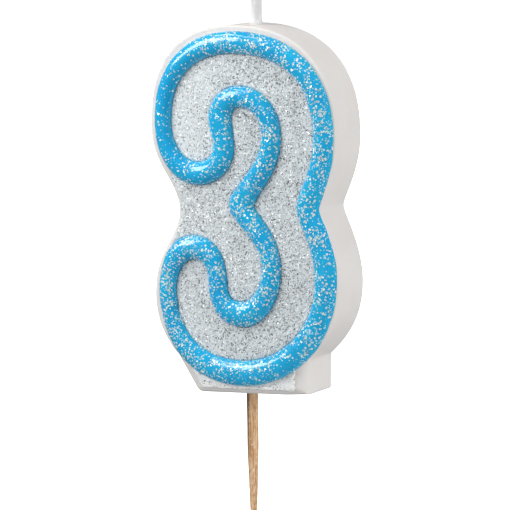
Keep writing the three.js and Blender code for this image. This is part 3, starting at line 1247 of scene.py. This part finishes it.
def make_wick_coat(material):
    """The wick's wax skin, with a small flare where it leaves the candle."""
    x = (coat_low[0] + coat_high[0]) / 2
    radius = (coat_high[0] - coat_low[0]) / 2
    bore = (core_high[0] - core_low[0]) / 2 + HOLE_CLEARANCE
    root = body_high[2]
    top = coat_high[2]
    around = WICK_AROUND
    rows = [(radius * NEAR_FULL, z) for z in np.linspace(coat_low[2], root - 0.3, 30)]
    for z in np.arange(root - 0.1, top - 0.25, WICK_STEP):
        flare = FLARE * max(0.0, 1 - (z - root + 0.1) / FLARE_HEIGHT) ** 3
        rows.append((radius * NEAR_FULL + flare, z))
    rows += [(radius * 0.94, top - 0.14), (radius * 0.86, top - 0.04), (radius * 0.74, top)]
    rows += [(bore + 0.02, top - 0.03), (bore, top - 0.2), (bore, coat_low[2])]
    vertices = np.concatenate([level_ring(x, r, z, around) for r, z in rows])
    faces = ring_faces(len(rows), around, False)
    last = (len(rows) - 1) * around
    faces += [(last + i, last + (i + 1) % around, (i + 1) % around, i) for i in range(around)]
    away = vertices[:, :2] - (x, 0)
    distance = np.linalg.norm(away, axis=1)
    outside = (distance > bore + 0.1) & (vertices[:, 2] > root)
    swell = 1 + outside * (0.035 * waves(vertices, 1.5, 61, 2) + 0.03 * waves(vertices, 5, 62))
    vertices[:, :2] = (x, 0) + away * swell[:, None]
    piece = finished("wick_wax_skin", vertices, faces, material, 60)
    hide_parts("wick_wax_coat")


def make_pick(material):
    """A turned birch stick with raised fibres, tapered to its tip. Below the foot it leans a little."""
    radius = pick_high[0]
    bottom, top = pick_low[2], pick_high[2]
    around = PICK_AROUND
    turn = np.linspace(0, 2 * math.pi, around, endpoint=False)
    tip = bottom + np.array([0, 0.06, 0.2, 0.5])
    shaft = np.arange(bottom + 1, top - 0.3, PICK_STEP)
    head = [top - 0.25, top - 0.08, top]
    z = np.concatenate([tip, shaft, head])
    share = np.clip((z - bottom) / PICK_TAPER, 0, 1)
    size = PICK_TIP + (radius * NEAR_FULL - PICK_TIP) * share**0.92
    size[:2] *= (0.45, 0.85)
    size[-3:] = radius * np.array([0.97, 0.9, 0.75])
    lean = np.where(z < 0, -z * PICK_LEAN, 0)
    rings = []
    for height, reach, shift in zip(z, size, lean):
        ring = circle(around)
        fibre = np.stack([ring[:, 0] * 5, ring[:, 1] * 5, np.full(around, height * 0.12)], axis=1)
        rough = 1 - 0.022 * (waves(fibre, 1, 71, 3) + 0.6)
        flat = 1 - 0.03 * smoothstep(0.8, 1.0, np.cos(turn - 2.4))
        ring *= (reach * rough * flat)[:, None]
        rings.append(np.column_stack([ring[:, 0] + shift, ring[:, 1], np.full(around, height)]))
    piece = finished("birch_pick", np.concatenate(rings), ring_faces(len(z), around), material, 60)
    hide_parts("wooden_pick")


# Studio ------------------------------

VIEW_AZIMUTH, VIEW_ELEVATION = 28, 7.5
VIEW_DISTANCE = 0.650
VIEW_TARGET = Vector((-1.16, 3.22, 25.72)) * MM
VIEW_WIDTH = 0.0962
SENSOR = 36
CLIP = (0.01, 20)
AMBIENT, MIRRORED_AMBIENT, BACKDROP = 0.35, 0.2, 1.05
FLOOR_REACH = 6.0
# Each light: name, azimuth, elevation, distance, size, power and whether the candle mirrors it.
LIGHTS = [
    ("key", -43, 29, 0.3, (0.125, 0.15), 0.54, True),
    ("strip", -50, 60, 0.4, (0.26, 0.036), 0.26, True),
    ("overhead", -20, 66, 0.7, (0.4, 0.16), 0.9, False),
    ("right_fill", 88, 0, 0.9, (0.5, 0.7), 7.9, False),
    ("low_fill", 40, -35, 0.6, (0.3, 0.3), 0.6, False),
    ("table_bounce", 20, -52, 0.09, (0.05, 0.05), 0.012, False),
    ("back_fill", 190, 20, 1.0, (0.7, 0.6), 2.9, False),
]


def direction(azimuth, elevation):
    """From the candle towards a place round it: azimuth 0 is in front and 90 on its right."""
    a, e = math.radians(azimuth), math.radians(elevation)
    return Vector((math.sin(a) * math.cos(e), -math.cos(a) * math.cos(e), math.sin(e)))


def aimed(thing, azimuth, elevation, distance):
    """Puts a camera or light round the candle, facing the middle of the view."""
    towards = direction(azimuth, elevation)
    thing.location = VIEW_TARGET + towards * distance
    thing.rotation_euler = towards.to_track_quat("Z", "Y").to_euler()


def make_camera():
    """The camera. Its lens frames VIEW_WIDTH at the candle."""
    data = bpy.data.cameras.new("camera")
    data.sensor_width = SENSOR
    data.lens = SENSOR * VIEW_DISTANCE / VIEW_WIDTH
    data.clip_start, data.clip_end = CLIP
    camera = placed("camera", data)
    aimed(camera, VIEW_AZIMUTH, VIEW_ELEVATION, VIEW_DISTANCE)
    bpy.context.scene.camera = camera


def softbox(name, azimuth, elevation, distance, size, power, mirrored):
    """A soft rectangular light."""
    data = bpy.data.lights.new(name, "AREA")
    data.shape = "RECTANGLE"
    data.size, data.size_y = size
    data.energy = power
    light = placed(name, data)
    light.visible_glossy = mirrored
    light.visible_camera = False
    aimed(light, azimuth, elevation, distance)


def make_floor():
    """A pale floor at the pick's tip."""
    mesh = bpy.data.meshes.new("studio_floor")
    z = pick_low[2] * MM
    corners = [(FLOOR_REACH * x, FLOOR_REACH * y, z) for x, y in ((-1, -1), (1, -1), (1, 1), (-1, 1))]
    mesh.from_pydata(corners, [], [(0, 1, 2, 3)])
    mesh.materials.append(paper_material())
    floor = placed("studio_floor", mesh)
    floor.visible_diffuse = False
    floor.visible_glossy = False


def make_world():
    """White light from all round: weaker in reflections, and a white backdrop for the camera."""
    world = bpy.data.worlds.new("studio")
    world.use_nodes = True
    tree = world.node_tree
    background = tree.nodes["Background"]
    background.inputs["Color"].default_value = (1, 1, 1, 1)
    rays = tree.nodes.new("ShaderNodeLightPath")
    strength = None
    for ray, level in (("Is Glossy Ray", MIRRORED_AMBIENT), ("Is Camera Ray", BACKDROP)):
        choice = tree.nodes.new("ShaderNodeMapRange")
        choice.inputs["To Min"].default_value = AMBIENT
        choice.inputs["To Max"].default_value = level
        tree.links.new(rays.outputs[ray], choice.inputs["Value"])
        if strength:
            tree.links.new(strength, choice.inputs["To Min"])
        strength = choice.outputs["Result"]
    tree.links.new(strength, background.inputs["Strength"])
    bpy.context.scene.world = world
    bpy.context.scene.view_settings.view_transform = "Standard"


# Making ------------------------------

make_camera()
make_world()
for light in LIGHTS:
    softbox(*light)
make_floor()

make_body(wax_material())
make_bead(blue_gel_material())
silver = silver_coat_material("silver_glitter_coat", 0.93, (0.86, 0.90, 0.91), 0.07)
sparse_silver = silver_coat_material("silver_glitter_foot", 0.20, (0.94, 0.94, 0.93), 0.08)
make_coat("glitter_coat_numeral", "glitter_field_numeral", in_numeral(), 33, silver)
make_coat("glitter_coat_counters", "glitter_field_counters", in_counters(), 34, silver)
make_coat("glitter_coat_foot", "glitter_strip_foot", in_foot(), 35, sparse_silver)

gel_foil = flake_material("pale_foil", GEL_TINTS, 0.3)
coat_foil = flake_material("silver_foil", COAT_TINTS, 0.4)
make_bead_flakes(gel_foil)
make_coat_flakes("numeral_coat_flakes", in_numeral(0.25), 2600, 53, coat_foil)
make_coat_flakes("counter_coat_flakes", in_counters(0.25), 1100, 54, coat_foil)
make_coat_flakes("foot_coat_flakes", in_foot(0.3), 70, 55, coat_foil)

make_wick_core(cotton_material())
make_wick_coat(wick_wax_material())
make_pick(birch_material())
